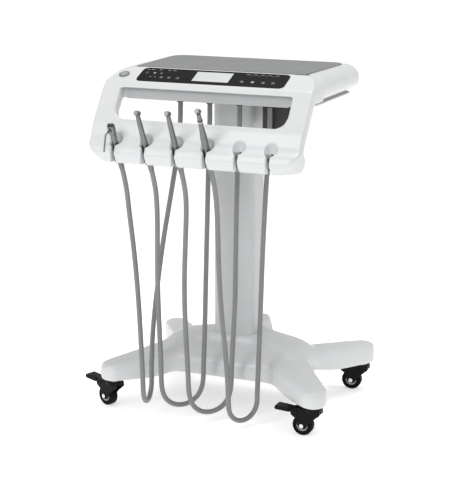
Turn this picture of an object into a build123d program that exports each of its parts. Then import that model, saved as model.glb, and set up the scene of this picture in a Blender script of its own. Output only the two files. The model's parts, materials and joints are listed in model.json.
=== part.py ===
from build123d import *
from math import atan2, cos, degrees, pi, radians, sin, tan
import os

# Mobile dental delivery cart, in millimetres.  X is across the cart, +Y is towards its back, +Z is up.
# Everything is drawn about the cart's own symmetry plane, X = 0, with the column near Y = 0, and
# finish() moves each piece so that the origin is on the floor below the middle of the whole cart.
os.makedirs("parts", exist_ok=True)
ORIGIN_SHIFT = Vector(30.919, 51.504, 0)

# ---- driving dimensions ----
WALL = 3.0                      # moulded shells
# base and casters
CASTER_TOP = 72.0               # underside of a leg's end, where the caster meets it
FRONT_AXIS = Vector(262, -166)  # caster swivel axes, right side; the left side mirrors them
REAR_AXIS = Vector(261, 197)
CASTERS = {
    "caster_front_right": (FRONT_AXIS.X, FRONT_AXIS.Y, 0),
    "caster_front_left": (-FRONT_AXIS.X, FRONT_AXIS.Y, -20),
    "caster_rear_right": (REAR_AXIS.X, REAR_AXIS.Y, 4),
    "caster_rear_left": (-REAR_AXIS.X, REAR_AXIS.Y, 171),
}
WHEEL_R = 25.0
WHEEL_W = 20.0
TRAIL = 24.0
AXLE_R = 3.0
FORK_GAP = 22.0                 # clear width between the fork's cheeks
CHEEK = 2.4
PEDAL_PIVOT = Vector(-38, 0, 58)
PEDAL_REACH = 93.0              # from the swivel axis to the pedal's tip
STUD_R = 5.0
KING_R = 6.0
# column
COLUMN_W = 106.0
COLUMN_D = 84.0
COLUMN_Y = 8.0
COLUMN_R = 17.0
COLUMN_FOOT = 165.0
CORE_W = 80.0
CORE_D = 60.0
# head: deck, plate and frame
HEAD_PLATE_Z = 774.0
DECK_W = 524.0
DECK_FRONT = -132.0
DECK_BACK = 172.0
DECK_LOW = 786.0
DECK_TOP = 843.0
SIDE_TOP_R = 33.0
SIDE_LOW_R = 22.0
FRAME_HALF = 262.0
FRAME_CORNER_R = 46.0
PANEL_TILT = 23.0               # degrees from level
FACE_LEAN = 35.6                # degrees from upright
FRAME_DEPTH = 27.0
OPENING_HALF = 210.0
# holders
HOLDER_PITCH = 76.6
HOLDER_X = [HOLDER_PITCH * (i - 2.5) for i in range(6)]
HOLDER_AT = Vector(0, -269, 678)
HOLDER_LEAN = 26.0              # degrees from upright, leaning towards the front
HOLDER_R = 9.5
SLEEVE_R = 11.5
# hoses
HOSE_R = 6.0

NODES = {}


def finish(part, label):
    placed = part.moved(Location(ORIGIN_SHIFT))
    placed.label = label
    export_step(placed, "parts/" + label + ".step")
    NODES[label] = placed


def rounded_block(width, depth, low, high, radius, y=0.0):
    with BuildPart() as block:
        with BuildSketch(Plane.XY.offset(low)):
            with Locations((0, y)):
                RectangleRounded(width, depth, radius)
        extrude(amount=high - low)
    return block.part


# ---- base ----
def leg_form(root, tip, root_r, tip_r, root_top, tip_top, root_low, inset):
    """One leg: a tapered bar between two round ends, its top and underside sloped."""
    along = Vector(tip.X - root.X, tip.Y - root.Y)
    reach = along.length
    heading = degrees(atan2(along.Y, along.X))
    with BuildPart() as leg:
        with BuildSketch(Plane.XY.offset(CASTER_TOP - 40 * (inset > 0))):
            with BuildSketch(mode=Mode.PRIVATE) as ends:
                Circle(root_r - 1.5 * inset)
                with Locations((reach, 0)):
                    Circle(tip_r - 1.5 * inset)
            make_hull(ends.sketch.edges())
        extrude(amount=root_top + 60)
        with BuildSketch(Plane.XZ) as side:
            with BuildLine():
                Polyline(
                    (-root_r, root_low - 40 * (inset > 0)),
                    (reach * 0.55, CASTER_TOP - 40 * (inset > 0)),
                    (reach + tip_r, CASTER_TOP - 40 * (inset > 0)),
                    (reach + tip_r, tip_top - 3 * inset),
                    (-root_r, root_top - 3 * inset),
                    close=True,
                )
            make_face()
        extrude(amount=root_r + 20, both=True, mode=Mode.INTERSECT)
        if not inset:
            fillet(leg.faces().sort_by(Axis.Z)[-1].edges(), radius=16)
    return leg.part.moved(Location((root.X, root.Y, 0), (0, 0, heading)))


def base_form(inset):
    """The base cover's outline, or its hollow when inset is the wall."""
    drop = 40 * (inset > 0)
    with BuildPart() as body:
        with BuildSketch(Plane.XY.offset(90 - drop)):
            RectangleRounded(384 - 2 * inset, 192 - 2 * inset, 52)
        with BuildSketch(Plane.XY.offset(134 - inset)):
            RectangleRounded(380 - 2 * inset, 184 - 2 * inset, 52)
        with BuildSketch(Plane.XY.offset(156 - inset)):
            RectangleRounded(280 - 2 * inset, 158 - 2 * inset, 44)
        with BuildSketch(Plane.XY.offset(179 - inset)):
            with Locations((0, COLUMN_Y)):
                RectangleRounded(116 - 2 * inset, 94 - 2 * inset, 22)
        loft(ruled=True)
    form = body.part
    for side in (1, -1):
        front_root = Vector(150 * side, -58)
        rear_root = Vector(150 * side, 52)
        front_tip = Vector(FRONT_AXIS.X * side, FRONT_AXIS.Y)
        rear_tip = Vector(REAR_AXIS.X * side, REAR_AXIS.Y)
        form += leg_form(front_root, front_tip, 40, 30, 152, 116, 92, inset)
        form += leg_form(rear_root, rear_tip, 38, 31, 138, 128, 92, inset)
    return form


base_outer = base_form(0)
base_inner = base_form(WALL)
with BuildPart() as base_cover:
    add(base_outer)
    add(base_inner, mode=Mode.SUBTRACT)
    add(rounded_block(COLUMN_W + 0.8, COLUMN_D + 0.8, 150, 200, COLUMN_R, COLUMN_Y), mode=Mode.SUBTRACT)
finish(base_cover.part, "base_cover")

FRAME_PLATE_Z = 104.0
with BuildPart() as base_frame:
    with BuildSketch(Plane.XY.offset(96)):
        RectangleRounded(336, 150, 12)
    extrude(amount=FRAME_PLATE_Z - 96)
    for side in (1, -1):
        for root, tip in ((Vector(140, -52), FRONT_AXIS), (Vector(140, 48), REAR_AXIS)):
            start = Vector(root.X * side, root.Y)
            end = Vector(tip.X * side, tip.Y)
            along = end - start
            heading = degrees(atan2(along.Y, along.X))
            middle = (start + end) / 2 - along.normalized() * 8
            with Locations(Location((middle.X, middle.Y, 88), (0, 0, heading))):
                Box(along.length, 26, 18)
            with BuildSketch(Plane.XY.offset(72.1)):
                with Locations((end.X, end.Y)):
                    Circle(16)
                    Circle(STUD_R + 0.3, mode=Mode.SUBTRACT)
            extrude(amount=28)
    with Locations((0, -48, 88), (0, 48, 88)):
        Box(300, 30, 18)
    with Locations(Location((0, COLUMN_Y, 100))):
        with GridLocations(128, 84, 2, 2):
            Cylinder(4.3, 40, mode=Mode.SUBTRACT)
finish(base_frame.part, "base_frame")

with BuildPart() as ballast_plate:
    with BuildSketch(Plane.XY.offset(FRAME_PLATE_Z)):
        RectangleRounded(320, 146, 10)
        with Locations((0, COLUMN_Y)):
            RectangleRounded(156, 116, 6, mode=Mode.SUBTRACT)
    extrude(amount=22)
finish(ballast_plate.part, "ballast_plate")

# ---- column ----
HEAD_PLATE_T = 3.0
with BuildPart() as column_core:
    with BuildSketch(Plane.XY.offset(FRAME_PLATE_Z)):
        with Locations((0, COLUMN_Y)):
            RectangleRounded(150, 110, 8)
            Rectangle(CORE_W - 8, CORE_D - 8, mode=Mode.SUBTRACT)
    extrude(amount=8)
    with BuildSketch(Plane.XY.offset(FRAME_PLATE_Z + 8)):
        with Locations((0, COLUMN_Y)):
            RectangleRounded(CORE_W, CORE_D, 8)
            RectangleRounded(CORE_W - 8, CORE_D - 8, 4, mode=Mode.SUBTRACT)
    extrude(amount=HEAD_PLATE_Z - FRAME_PLATE_Z - 8)
    with BuildSketch(Plane.XY.offset(HEAD_PLATE_Z - 8)):
        with Locations((0, COLUMN_Y)):
            RectangleRounded(CORE_W, CORE_D, 8)
            with GridLocations(50, 34, 2, 2):
                Circle(4.3, mode=Mode.SUBTRACT)
            Circle(9, mode=Mode.SUBTRACT)
    extrude(amount=8)
    with Locations((0, COLUMN_Y, FRAME_PLATE_Z)):
        with GridLocations(128, 84, 2, 2):
            Cylinder(4.3, 40, mode=Mode.SUBTRACT)
finish(column_core.part, "column_core")

with BuildPart() as column_cover:
    with BuildSketch(Plane.XY.offset(COLUMN_FOOT)):
        with Locations((0, COLUMN_Y)):
            RectangleRounded(COLUMN_W, COLUMN_D, COLUMN_R)
            RectangleRounded(COLUMN_W - 2 * WALL, COLUMN_D - 2 * WALL, COLUMN_R - WALL, mode=Mode.SUBTRACT)
    extrude(amount=HEAD_PLATE_Z - COLUMN_FOOT)
finish(column_cover.part, "column_cover")

BOLT_R = 4.0
with BuildPart() as column_bolts:
    for seat, across, deep in ((FRAME_PLATE_Z + 8, 128, 84), (HEAD_PLATE_Z + HEAD_PLATE_T, 50, 34)):
        with Locations((0, COLUMN_Y, seat)):
            with GridLocations(across, deep, 2, 2):
                Cylinder(BOLT_R, 22, align=(Align.CENTER, Align.CENTER, Align.MAX))
                Cylinder(6.5, 6, align=(Align.CENTER, Align.CENTER, Align.MIN))
finish(column_bolts.part, "column_bolts")

# fairing on the base behind the column, where the supply lines come in
BOX_BACK = 112.0
with BuildPart() as rear_inlet_box:
    with BuildSketch(Plane.XZ.offset(-BOX_BACK)):
        with BuildLine():
            FilletPolyline((-66, 100), (-40, 198), (40, 198), (66, 100), radius=[14, 14])
            Line((66, 100), (-66, 100))
        make_face()
    extrude(amount=BOX_BACK - COLUMN_Y - COLUMN_D / 2 - 0.4)
    with BuildSketch(Plane.XZ.offset(-BOX_BACK + WALL)):
        with BuildLine():
            FilletPolyline((-62, 96), (-37.5, 195), (37.5, 195), (62, 96), radius=[11, 11])
            Line((62, 96), (-62, 96))
        make_face()
    extrude(amount=BOX_BACK - COLUMN_Y - COLUMN_D / 2 - 2 * WALL, mode=Mode.SUBTRACT)
    add(base_outer, mode=Mode.SUBTRACT)
    with Locations((-24, BOX_BACK, 176), (0, BOX_BACK, 176), (24, BOX_BACK, 176)):
        Cylinder(6.05, 30, rotation=(90, 0, 0), mode=Mode.SUBTRACT)
finish(rear_inlet_box.part.solids().sort_by(SortBy.VOLUME)[-1], "rear_inlet_box")

GLAND_BORE = 4.0
with BuildPart() as inlet_glands:
    with Locations((-24, 0, 0), (0, 0, 0), (24, 0, 0)):
        with Locations(Location((0, BOX_BACK - 8, 176), (-90, 0, 0))):
            Cylinder(6.0, 22, align=(Align.CENTER, Align.CENTER, Align.MIN))
        with Locations(Location((0, BOX_BACK, 176), (-90, 0, 0))):
            Cylinder(9.0, 6, align=(Align.CENTER, Align.CENTER, Align.MIN))
        with Locations(Location((0, BOX_BACK - 4, 176), (-90, 0, 0))):
            Cylinder(GLAND_BORE, 40, align=(Align.CENTER, Align.CENTER, Align.MIN), mode=Mode.SUBTRACT)
finish(inlet_glands.part, "inlet_glands")

# ---- casters, each drawn about its swivel axis with its pedal and wheel towards -X ----
AXLE_AT = Vector(-TRAIL, 0, WHEEL_R)
CROWN_LOW = 58.3
CROWN_TOP = 68.7


def place_caster(part, name):
    x, y, heading = CASTERS[name]
    return part.moved(Location((x, y, 0), (0, 0, heading)))


with BuildPart() as stem:
    with Locations((0, 0, 69)):
        Cylinder(17, CASTER_TOP - 69, align=(Align.CENTER, Align.CENTER, Align.MIN))
    with Locations((0, 0, CASTER_TOP)):
        Cylinder(STUD_R, 30, align=(Align.CENTER, Align.CENTER, Align.MIN))
    with Locations((0, 0, 58)):
        Cylinder(KING_R, 11, align=(Align.CENTER, Align.CENTER, Align.MIN))
    with Locations((0, 0, 54.5)):
        Cylinder(9, 3.5, align=(Align.CENTER, Align.CENTER, Align.MIN))
with BuildPart() as caster_stems:
    for name in CASTERS:
        add(place_caster(stem.part, name))
finish(caster_stems.part, "caster_stems")

with BuildPart() as fork:
    with Locations((0, 0, CROWN_LOW)):
        Cylinder(21, CROWN_TOP - CROWN_LOW, align=(Align.CENTER, Align.CENTER, Align.MIN))
    with BuildSketch(Plane.XZ.offset(-FORK_GAP / 2 - CHEEK)):
        with BuildLine():
            FilletPolyline(
                (19, CROWN_TOP - 1.5), (21, 56), (-2, 37), (-16, 17),
                (-32, 17), (-40, 42), (-52, 50), (-52, 65),
                (-24, CROWN_TOP - 1.5),
                radius=[3, 6, 6, 8, 8, 5, 5, 4, 4],
                close=True,
            )
        make_face()
    extrude(amount=FORK_GAP + 2 * CHEEK)
    with Locations((-33, 0, 38), (-60, 0, 38)):
        Box(66, FORK_GAP, 60, mode=Mode.SUBTRACT)
    with Locations((0, 0, CROWN_LOW - 30)):
        Box(60, FORK_GAP, 60, mode=Mode.SUBTRACT)
    with Locations((0, 0, 60)):
        Cylinder(KING_R + 0.05, 40, mode=Mode.SUBTRACT)
    with Locations((AXLE_AT.X, 0, AXLE_AT.Z)):
        Cylinder(AXLE_R + 0.02, 60, rotation=(90, 0, 0), mode=Mode.SUBTRACT)
    with Locations((PEDAL_PIVOT.X, 0, PEDAL_PIVOT.Z)):
        Cylinder(2.55, 60, rotation=(90, 0, 0), mode=Mode.SUBTRACT)

with BuildPart() as axle:
    with Locations((AXLE_AT.X, 0, AXLE_AT.Z)):
        Cylinder(AXLE_R, FORK_GAP + 2 * CHEEK + 0.4, rotation=(90, 0, 0))
    for side in (1, -1):
        with Locations((AXLE_AT.X, side * (FORK_GAP / 2 + CHEEK + 1.8), AXLE_AT.Z)):
            Cylinder(5.2, 3.2, rotation=(90, 0, 0))

with BuildPart() as wheel:
    with BuildSketch(Plane.XY):
        with BuildLine():
            FilletPolyline(
                (AXLE_R + 0.05, -10.6), (9, -10.6), (10.5, -8), (19, -8),
                (20, -WHEEL_W / 2), (WHEEL_R, -WHEEL_W / 2), (WHEEL_R, WHEEL_W / 2), (20, WHEEL_W / 2),
                (19, 8), (10.5, 8), (9, 10.6), (AXLE_R + 0.05, 10.6),
                radius=[0, 0.6, 0.6, 0.6, 0.6, 3.5, 3.5, 0.6, 0.6, 0.6, 0.6, 0],
                close=True,
            )
        make_face()
    revolve(axis=Axis.Y)
wheel_placed = wheel.part.moved(Location(AXLE_AT))

SHOE_NOSE = 9.5                 # from the pedal's pivot to the end of its brake shoe
PRESS = 16.0                    # degrees that the pedal travels
to_wheel = degrees(atan2(AXLE_AT.Z - PEDAL_PIVOT.Z, AXLE_AT.X - PEDAL_PIVOT.X))
with BuildPart() as pedal:
    with BuildSketch(Plane.XZ.offset(-10)):
        with BuildLine():
            FilletPolyline(
                (PEDAL_PIVOT.X + 5, 64), (-PEDAL_REACH, 68), (-PEDAL_REACH, 57.5), (-58, 55),
                (PEDAL_PIVOT.X + 5, 53),
                radius=[3, 4.5, 4.5, 10, 4],
                close=True,
            )
        make_face()
    extrude(amount=20)
    with BuildSketch(Plane.XZ.offset(-13)):
        with BuildLine():
            FilletPolyline(
                (-55, 65), (-PEDAL_REACH, 68), (-PEDAL_REACH, 57.5), (-56, 55),
                radius=[2, 4.5, 4.5, 2],
                close=True,
            )
        make_face()
    extrude(amount=26)
    with Locations(Location((PEDAL_PIVOT.X, 0, PEDAL_PIVOT.Z), (0, -(to_wheel - PRESS), 0))):
        Box(SHOE_NOSE, 16, 7, align=(Align.MIN, Align.CENTER, Align.CENTER))
    with Locations((PEDAL_PIVOT.X, 0, PEDAL_PIVOT.Z)):
        Cylinder(2.5, FORK_GAP + 2 * CHEEK + 1, rotation=(90, 0, 0))
        for side in (1, -1):
            with Locations((0, side * (FORK_GAP / 2 + CHEEK + 1.1), 0)):
                Cylinder(3.6, 1.6, rotation=(90, 0, 0))

for name in CASTERS:
    finish(place_caster(fork.part, name), name + "_fork")
    finish(place_caster(axle.part, name), name + "_axle")
    finish(place_caster(wheel_placed, name), name + "_wheel")
    finish(place_caster(pedal.part, name), name + "_pedal")

# ---- head: plate, deck and mat ----
OUTLET_X = [HOLDER_PITCH * (i - 1.5) for i in range(4)]
OUTLET_Y = -80.0
BUSH_R = 7.0
POSTS = [(side * 218, y) for side in (1, -1) for y in (-92, 116)]
with BuildPart() as head_plate:
    with BuildSketch(Plane.XY.offset(HEAD_PLATE_Z)):
        with Locations((0, (DECK_FRONT + 118) / 2 + 16)):
            RectangleRounded(484, 118 - DECK_FRONT + 30, 34)
        with Locations([(x, OUTLET_Y) for x in OUTLET_X]):
            Circle(BUSH_R + 0.05, mode=Mode.SUBTRACT)
        with Locations((0, COLUMN_Y)):
            with GridLocations(50, 34, 2, 2):
                Circle(BOLT_R + 0.3, mode=Mode.SUBTRACT)
            Circle(9, mode=Mode.SUBTRACT)
        with Locations(POSTS):
            Circle(2.3, mode=Mode.SUBTRACT)
    extrude(amount=HEAD_PLATE_T)
    with BuildSketch(Plane.XY.offset(HEAD_PLATE_Z + HEAD_PLATE_T)):
        with Locations((0, 15.5)):
            RectangleRounded(468, 257, 30)
            RectangleRounded(464, 253, 28, mode=Mode.SUBTRACT)
    extrude(amount=18)
finish(head_plate.part, "head_plate")


def deck_form(inset):
    """The deck's outer form, or the same form a wall's thickness smaller."""
    with BuildPart() as form:
        with BuildSketch(Plane.XY.offset(DECK_LOW + inset)):
            with BuildLine():
                half = DECK_W / 2 - inset
                FilletPolyline(
                    (-half, DECK_FRONT + 14.3 + inset), (half, DECK_FRONT + 14.3 + inset),
                    (half, DECK_BACK - inset), (-half, DECK_BACK - inset),
                    radius=[2, 2, 48 - inset, 48 - inset],
                    close=True,
                )
            make_face()
        extrude(amount=DECK_TOP - DECK_LOW - 2 * inset)
        sides = form.faces().sort_by(Axis.Z)[-1].edges().filter_by(lambda e: e.center().Y > DECK_FRONT + 20)
        fillet(sides, radius=SIDE_TOP_R - inset)
        sides = form.faces().sort_by(Axis.Z)[0].edges().filter_by(lambda e: e.center().Y > DECK_FRONT + 20)
        fillet(sides, radius=SIDE_LOW_R - inset)
    return form.part


MAT_T = 2.0
mat_outline = [(-214, DECK_FRONT + 18), (214, DECK_FRONT + 18), (226, DECK_BACK - 35), (-226, DECK_BACK - 35)]
with BuildPart() as deck_shell:
    add(deck_form(0))
    add(deck_form(WALL), mode=Mode.SUBTRACT)
    with BuildSketch(Plane.XY.offset(DECK_LOW - 1)):
        with Locations((0, 15.5)):
            RectangleRounded(469, 258, 30.5)
    extrude(amount=SIDE_LOW_R, mode=Mode.SUBTRACT)
    plate_top = HEAD_PLATE_Z + HEAD_PLATE_T
    with Locations([(x, y, plate_top) for x, y in POSTS]):
        Cylinder(7, DECK_TOP - plate_top - 1.5, align=(Align.CENTER, Align.CENTER, Align.MIN))
    with Locations([(x, y, HEAD_PLATE_Z) for x, y in POSTS]):
        Cylinder(2.0, 30, align=(Align.CENTER, Align.CENTER, Align.MIN), mode=Mode.SUBTRACT)
finish(deck_shell.part, "deck_shell")

with BuildPart() as tray_mat:
    with BuildSketch(Plane.XY.offset(DECK_TOP)):
        with BuildLine():
            FilletPolyline(*mat_outline, radius=[4, 4, 32, 32], close=True)
        make_face()
    extrude(amount=MAT_T)
finish(tray_mat.part, "tray_mat")

with BuildPart() as deck_screws:
    with Locations([(x, y, HEAD_PLATE_Z) for x, y in POSTS]):
        Cylinder(1.98, 20, align=(Align.CENTER, Align.CENTER, Align.MIN))
        Cylinder(4.2, 2.6, align=(Align.CENTER, Align.CENTER, Align.MAX))
finish(deck_screws.part, "deck_screws")

BUSH_LOW = HEAD_PLATE_Z - 14
with BuildPart() as hose_outlets:
    with Locations([(x, OUTLET_Y, BUSH_LOW) for x in OUTLET_X]):
        Cylinder(9.0, HEAD_PLATE_Z - BUSH_LOW, align=(Align.CENTER, Align.CENTER, Align.MIN))
        Cylinder(BUSH_R, HEAD_PLATE_Z - BUSH_LOW + 8, align=(Align.CENTER, Align.CENTER, Align.MIN))
finish(hose_outlets.part, "hose_outlets")

# dark box under the deck, beside the column, with the air and water valves in it
BOX_X = 126.0
BOX_Y = -4.0
BOX_LOW = 702.0
with BuildPart() as valve_box:
    with BuildSketch(Plane.XY.offset(BOX_LOW)):
        with Locations((BOX_X, BOX_Y)):
            RectangleRounded(74, 128, 8)
    extrude(amount=HEAD_PLATE_Z - BOX_LOW)
    with BuildSketch(Plane.XY.offset(BOX_LOW + 2.5)):
        with Locations((BOX_X, BOX_Y)):
            RectangleRounded(69, 123, 5.5)
    extrude(amount=HEAD_PLATE_Z - BOX_LOW, mode=Mode.SUBTRACT)
finish(valve_box.part, "valve_box")

with BuildPart() as valve_block:
    with Locations((BOX_X, BOX_Y, BOX_LOW + 2.5)):
        Box(50, 112, 22, align=(Align.CENTER, Align.CENTER, Align.MIN))
    with Locations((BOX_X, BOX_Y, BOX_LOW + 2.5)):
        with GridLocations(0, 26, 1, 4):
            Cylinder(
                4, 30, rotation=(0, 90, 0),
                align=(Align.CENTER, Align.CENTER, Align.MIN), mode=Mode.SUBTRACT,
            )
finish(valve_block.part, "valve_block")

with BuildPart() as solenoid_valves:
    with Locations((BOX_X, BOX_Y, BOX_LOW + 24.5)):
        with GridLocations(24, 26, 2, 4):
            Box(18, 20, 26, align=(Align.CENTER, Align.CENTER, Align.MIN))
            Cylinder(6, 34, align=(Align.CENTER, Align.CENTER, Align.MIN))
finish(solenoid_valves.part, "solenoid_valves")

# ---- front frame: a leaning ring whose bottom bar holds the instruments ----
DOWN_FACE = Vector(0, -sin(radians(FACE_LEAN)), -cos(radians(FACE_LEAN)))
FACE_UP = DOWN_FACE * -1
FACE_OUT = Vector(0, -cos(radians(FACE_LEAN)), sin(radians(FACE_LEAN)))
FACE_ZERO = Vector(0, -285, 680)
FACE_PLANE = Plane(origin=FACE_ZERO, x_dir=(1, 0, 0), z_dir=FACE_OUT)


def on_face(up, depth):
    """A point of the side profile, from its height along the face and its depth behind it."""
    point = FACE_ZERO + FACE_UP * up - FACE_OUT * depth
    return (point.Y, point.Z)


FRAME_BACK_Y = -118.0
LOW_UP = 78.0                   # lower edge of the opening, measured up the face
FASCIA_LOW = 139.0
FASCIA_TOP = 167.0
FASCIA_DEPTH = 20.0
panel_front = (-187.3, 846 - tan(radians(PANEL_TILT)) * 69.3)
side_profile = [
    (FRAME_BACK_Y, 846), panel_front, on_face(62, 0), on_face(24, 8), (-284, 683), (-292, 667), (-286, 644),
    (-276, 640), (-234, 640), (-231, 655), (-232, 674), on_face(30, FRAME_DEPTH),
    on_face(150, FRAME_DEPTH), (FRAME_BACK_Y, 786),
]
side_radii = [1, 9, 20, 22, 12, 10, 6, 4, 4, 3, 3, 10, 12, 1]


def frame_form(inset):
    with BuildPart() as form:
        with BuildSketch(Plane.YZ) as side:
            with BuildLine():
                FilletPolyline(*side_profile, radius=side_radii, close=True)
            make_face()
            if inset:
                offset(amount=-inset, kind=Kind.INTERSECTION)
        extrude(amount=FRAME_HALF - inset, both=True)
        with BuildSketch(FACE_PLANE.offset(-200)):
            with BuildLine():
                half = FRAME_HALF - inset
                FilletPolyline(
                    (half, inset - 30), (half, 300), (-half, 300), (-half, inset - 30),
                    radius=[58 - inset, 1, 1, 58 - inset],
                    close=True,
                )
            make_face()
        extrude(amount=400, mode=Mode.INTERSECT)
        with BuildSketch(Plane.XZ):
            with BuildLine():
                top = side_profile[0][1] - inset
                FilletPolyline(
                    (half, 500), (half, top), (-half, top), (-half, 500),
                    radius=[1, FRAME_CORNER_R - inset, FRAME_CORNER_R - inset, 1],
                    close=True,
                )
            make_face()
        extrude(amount=400, mode=Mode.INTERSECT)
    return form.part


with BuildPart() as opening_form:
    with BuildSketch(Plane.YZ):
        with BuildLine():
            Polyline(
                on_face(LOW_UP - 6, -60), on_face(152, -60),
                on_face(152, 0), on_face(FASCIA_TOP, FASCIA_DEPTH),
                on_face(FASCIA_LOW, FASCIA_DEPTH), on_face(FASCIA_LOW, 90), on_face(LOW_UP, 90),
                on_face(LOW_UP, 20), on_face(LOW_UP - 6, 0),
                close=True,
            )
        make_face()
    extrude(amount=OPENING_HALF + 5, both=True)

# the bottom bar is solid foam moulding; the arms and the top bar are hollow
with BuildPart() as hollow:
    add(frame_form(WALL))
    with BuildSketch(Plane.YZ):
        with BuildLine():
            Polyline(
                on_face(LOW_UP - 11, -60), on_face(157, -60),
                on_face(156, 3), on_face(FASCIA_TOP + 4, FASCIA_DEPTH - 3),
                on_face(FASCIA_TOP + 4, FASCIA_DEPTH + 3), on_face(FASCIA_LOW - 4, FASCIA_DEPTH + 3),
                on_face(FASCIA_LOW - 4, 90), on_face(LOW_UP - 11, 90),
                close=True,
            )
        make_face()
    extrude(amount=OPENING_HALF + 8, both=True, mode=Mode.SUBTRACT)
    with BuildSketch(FACE_PLANE.offset(-200)):
        with Locations((0, 0)):
            Rectangle(2 * FRAME_HALF, 2 * 70)
    extrude(amount=400, mode=Mode.SUBTRACT)

HOLDER_AXIS = Vector(0, -sin(radians(HOLDER_LEAN)), cos(radians(HOLDER_LEAN)))


def holder_plane(x):
    """A plane across a holder's bore, its normal pointing up along the instrument."""
    return Plane(origin=(x, HOLDER_AT.Y, HOLDER_AT.Z), x_dir=(1, 0, 0), z_dir=HOLDER_AXIS)


DISH_R = 17.0
SLOT_TOP = 690.0
SLOT_LOW = 636.0
SENSOR_Z = 680.0
with BuildPart() as holder_cuts:
    for x in HOLDER_X:
        with BuildSketch(holder_plane(x).offset(-60)):
            Circle(SLEEVE_R)
        extrude(amount=60 + 34)
        with Locations((x, -271, 697)):
            Sphere(DISH_R)
        with BuildSketch(Plane.XZ.offset(259)):
            with Locations((x, SENSOR_Z)):
                Circle(2.65)
        extrude(amount=-9.6)
        with BuildSketch(Plane.XZ.offset(262)):
            with BuildLine():
                Polyline(
                    (x - 3.6, SLOT_TOP), (x - 3.6, 662), (x - 8, SLOT_LOW),
                    (x + 8, SLOT_LOW), (x + 3.6, 662), (x + 3.6, SLOT_TOP),
                    close=True,
                )
            make_face()
        extrude(amount=40)

PANEL_SLOPE = radians(PANEL_TILT)
panel_middle = Vector(0, -152.6, 846 - tan(PANEL_SLOPE) * 34.6)
PANEL_PLANE = Plane(origin=panel_middle, x_dir=(1, 0, 0), z_dir=(0, -sin(PANEL_SLOPE), cos(PANEL_SLOPE)))
PANEL_W = 371.0
PANEL_H = 62.0
PANEL_R = 13.0
FILM_T = 0.8
WINDOW = (91.0, 42.0)
WINDOW_UP = 3.0
BUTTON_X = -224.0
BUTTON_UP = -5.0
RING_R = 12.5
CAP_R = 9.0
with BuildPart() as panel_cuts:
    with BuildSketch(PANEL_PLANE.offset(-FILM_T)):
        RectangleRounded(PANEL_W + 0.4, PANEL_H + 0.4, PANEL_R)
    extrude(amount=20)
    with BuildSketch(PANEL_PLANE.offset(-5)):
        with Locations((0, WINDOW_UP)):
            Rectangle(WINDOW[0] + 0.6, WINDOW[1] + 0.6)
        with Locations((BUTTON_X, BUTTON_UP)):
            Circle(RING_R - 2)
    extrude(amount=20)

with BuildPart() as frame_solid:
    add(frame_form(0))
    add(opening_form.part, mode=Mode.SUBTRACT)
    add(hollow.part, mode=Mode.SUBTRACT)
    add(holder_cuts.part, mode=Mode.SUBTRACT)
    add(panel_cuts.part, mode=Mode.SUBTRACT)

# the frame parts along a plane behind its face: a front moulding and a back cover
SEAM_DEPTH = 15.0
seam = FACE_PLANE.offset(-SEAM_DEPTH)
with BuildPart() as front_frame:
    add(frame_solid.part)
    split(bisect_by=seam, keep=Keep.TOP)
with BuildPart() as frame_back:
    add(frame_solid.part)
    split(bisect_by=seam, keep=Keep.BOTTOM)
finish(front_frame.part, "front_frame")
finish(frame_back.part, "frame_back")

with BuildPart() as holder_sleeves:
    for x in HOLDER_X:
        with BuildSketch(holder_plane(x).offset(-41)):
            Circle(SLEEVE_R - 0.02)
            Circle(HOLDER_R, mode=Mode.SUBTRACT)
            with Locations((0, -12)):
                Rectangle(8, 24, mode=Mode.SUBTRACT)
        extrude(amount=34)
finish(holder_sleeves.part, "holder_sleeves")

with BuildPart() as holder_sensors:
    for x in HOLDER_X:
        with BuildSketch(Plane.XZ.offset(257.9)):
            with Locations((x, SENSOR_Z)):
                Circle(2.6)
        extrude(amount=-8.4)
finish(holder_sensors.part, "holder_sensors")

with BuildPart() as panel_film:
    with BuildSketch(PANEL_PLANE.offset(-FILM_T)):
        RectangleRounded(PANEL_W, PANEL_H, PANEL_R)
        with Locations((0, WINDOW_UP)):
            Rectangle(*WINDOW, mode=Mode.SUBTRACT)
    extrude(amount=FILM_T + 0.2)
finish(panel_film.part, "panel_film")

with BuildPart() as display:
    with BuildSketch(PANEL_PLANE.offset(-4.9)):
        with Locations((0, WINDOW_UP)):
            Rectangle(WINDOW[0] - 0.2, WINDOW[1] - 0.2)
    extrude(amount=4.9 + 0.1)
finish(display.part, "display")

with BuildPart() as control_board:
    with BuildSketch(PANEL_PLANE.offset(-9.5)):
        Rectangle(330, 50)
    extrude(amount=1.6)
finish(control_board.part, "control_board")

with BuildPart() as button_ring:
    with BuildSketch(PANEL_PLANE):
        with Locations((BUTTON_X, BUTTON_UP)):
            Circle(RING_R)
            Circle(CAP_R + 0.1, mode=Mode.SUBTRACT)
    extrude(amount=1.6)
    with BuildSketch(PANEL_PLANE.offset(-4.8)):
        with Locations((BUTTON_X, BUTTON_UP)):
            Circle(RING_R - 2.1)
            Circle(CAP_R + 0.1, mode=Mode.SUBTRACT)
    extrude(amount=4.8)
finish(button_ring.part, "button_ring")

with BuildPart() as power_button:
    with BuildSketch(PANEL_PLANE.offset(-2.0)):
        with Locations((BUTTON_X, BUTTON_UP)):
            Circle(CAP_R)
    extrude(amount=4.6)
    fillet(power_button.faces().sort_by(Axis.Z)[-1].edges(), radius=1.0)
finish(power_button.part, "power_button")


# ---- instruments, each turned about its holder's axis; heights run up the instrument ----
TAIL_UP = -62.0                 # where the hose meets the instrument's connector
SIDE = Vector(0, -cos(radians(HOLDER_LEAN)), -sin(radians(HOLDER_LEAN)))


def on_axis(x, up, ahead=0.0):
    """A point beside an instrument's axis, so far up it and so far ahead of it."""
    return Vector(x, HOLDER_AT.Y, HOLDER_AT.Z) + HOLDER_AXIS * up + SIDE * ahead


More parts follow.
